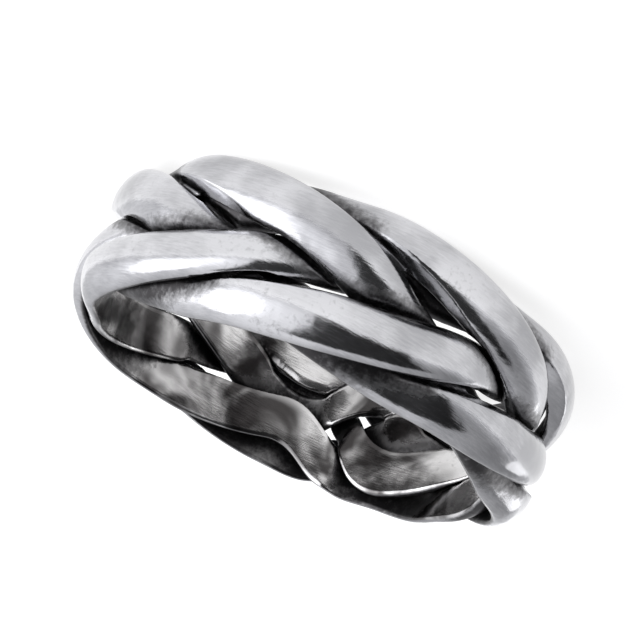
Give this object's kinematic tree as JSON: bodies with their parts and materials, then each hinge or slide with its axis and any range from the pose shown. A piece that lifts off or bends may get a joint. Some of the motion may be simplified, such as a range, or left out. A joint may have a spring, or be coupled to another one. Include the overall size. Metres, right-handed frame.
{
  "type": "disentanglement puzzle ring",
  "caption": "Polished silver finger ring woven from five separate half-round bands, each passing over two and under two, as a metal disentanglement puzzle.",
  "frame": {"origin": "centre of the finger bore, half way along its length", "axes": "+Z along the finger bore; +Y is the side where the weave turns back on itself, -Y the even side that faces the viewer"},
  "size_m": [0.0232, 0.0232, 0.0072],
  "materials": {
    "silver": "polished silver, darkened in the crevices"
  },
  "bodies": {
    "band_1": {"band_1": "silver"},
    "band_2": {"band_2": "silver"},
    "band_3": {"band_3": "silver"},
    "band_4": {"band_4": "silver"},
    "band_5": {"band_5": "silver"}
  },
  "joints": [
    {"name": "band_2_turn", "type": "hinge", "parent": "band_1", "child": "band_2", "pos_m": [0, 0, 0], "axis": [0, 0, 1], "range_deg": [-0.4, 0.4]},
    {"name": "band_3_turn", "type": "hinge", "parent": "band_1", "child": "band_3", "pos_m": [0, 0, 0], "axis": [0, 0, 1], "range_deg": [-0.4, 0.4]},
    {"name": "band_4_turn", "type": "hinge", "parent": "band_1", "child": "band_4", "pos_m": [0, 0, 0], "axis": [0, 0, 1], "range_deg": [-0.4, 0.4]},
    {"name": "band_5_turn", "type": "hinge", "parent": "band_1", "child": "band_5", "pos_m": [0, 0, 0], "axis": [0, 0, 1], "range_deg": [-0.4, 0.4]}
  ]
}
